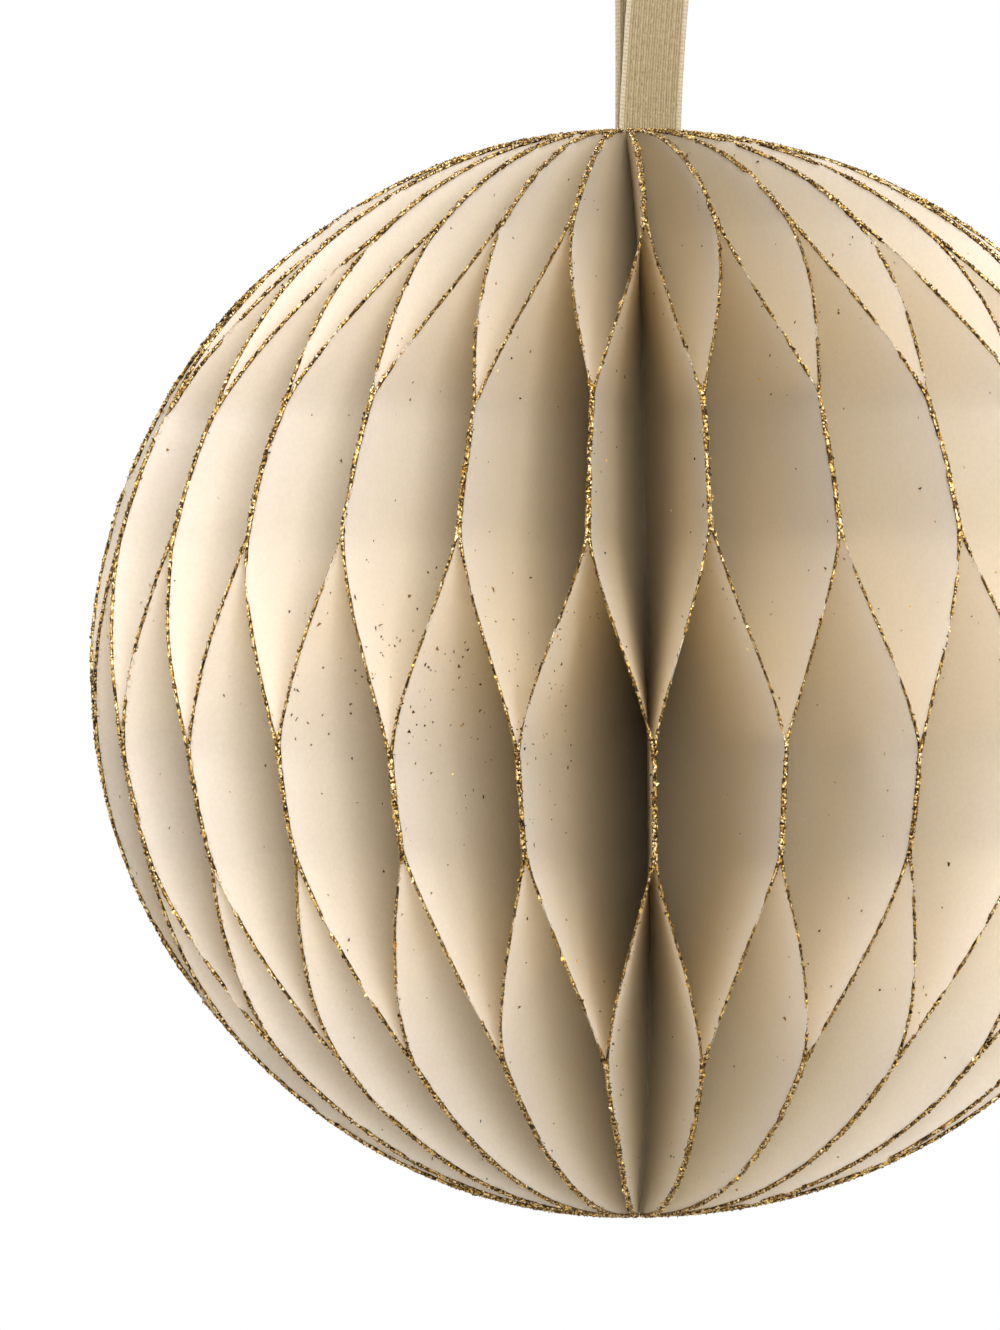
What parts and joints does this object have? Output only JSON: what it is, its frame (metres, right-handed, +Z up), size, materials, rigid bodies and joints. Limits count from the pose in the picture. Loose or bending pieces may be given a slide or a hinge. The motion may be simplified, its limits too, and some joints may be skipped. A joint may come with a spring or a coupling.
{
  "type": "honeycomb paper ball ornament",
  "caption": "Round hanging ornament of half-disc paper leaves glued into diamond cells around a vertical spine, with gold glitter rims and a ribbon loop.",
  "frame": {"origin": "centre of the ball, on its spine halfway between the two poles", "axes": "+Z up along the spine towards the ribbon loop, +X to the right of the front view, -Y towards the viewer in front"},
  "size_m": [0.1023, 0.1024, 0.192],
  "materials": {
    "ivory_paper": "smooth matte ivory paper",
    "clear_glue": "dried craft glue",
    "ribbon": "woven champagne ribbon with a slight sheen",
    "gold_glitter": "coarse gold glitter in a film of glue, on the rims"
  },
  "bodies": {
    "root": {"leaf_01": "ivory_paper", "leaf_02": "ivory_paper", "leaf_03": "ivory_paper", "leaf_04": "ivory_paper", "leaf_05": "ivory_paper", "leaf_06": "ivory_paper", "leaf_07": "ivory_paper", "leaf_08": "ivory_paper", "leaf_09": "ivory_paper", "leaf_10": "ivory_paper", "leaf_11": "ivory_paper", "leaf_12": "ivory_paper", "leaf_13": "ivory_paper", "leaf_14": "ivory_paper", "leaf_15": "ivory_paper", "leaf_16": "ivory_paper", "leaf_17": "ivory_paper", "leaf_18": "ivory_paper", "leaf_19": "ivory_paper", "leaf_20": "ivory_paper", "leaf_21": "ivory_paper", "leaf_22": "ivory_paper", "leaf_23": "ivory_paper", "leaf_24": "ivory_paper", "leaf_25": "ivory_paper", "leaf_26": "ivory_paper", "leaf_27": "ivory_paper", "leaf_28": "ivory_paper", "leaf_29": "ivory_paper", "leaf_30": "ivory_paper", "leaf_31": "ivory_paper", "leaf_32": "ivory_paper", "leaf_33": "ivory_paper", "leaf_34": "ivory_paper", "leaf_35": "ivory_paper", "leaf_36": "ivory_paper", "leaf_37": "ivory_paper", "leaf_38": "ivory_paper", "leaf_39": "ivory_paper", "leaf_40": "ivory_paper", "leaf_41": "ivory_paper", "leaf_42": "ivory_paper", "leaf_43": "ivory_paper", "leaf_44": "ivory_paper", "leaf_45": "ivory_paper", "leaf_46": "ivory_paper", "leaf_47": "ivory_paper", "leaf_48": "ivory_paper", "spine_glue": "clear_glue", "hanging_ribbon": "ribbon"}
  },
  "joints": []
}
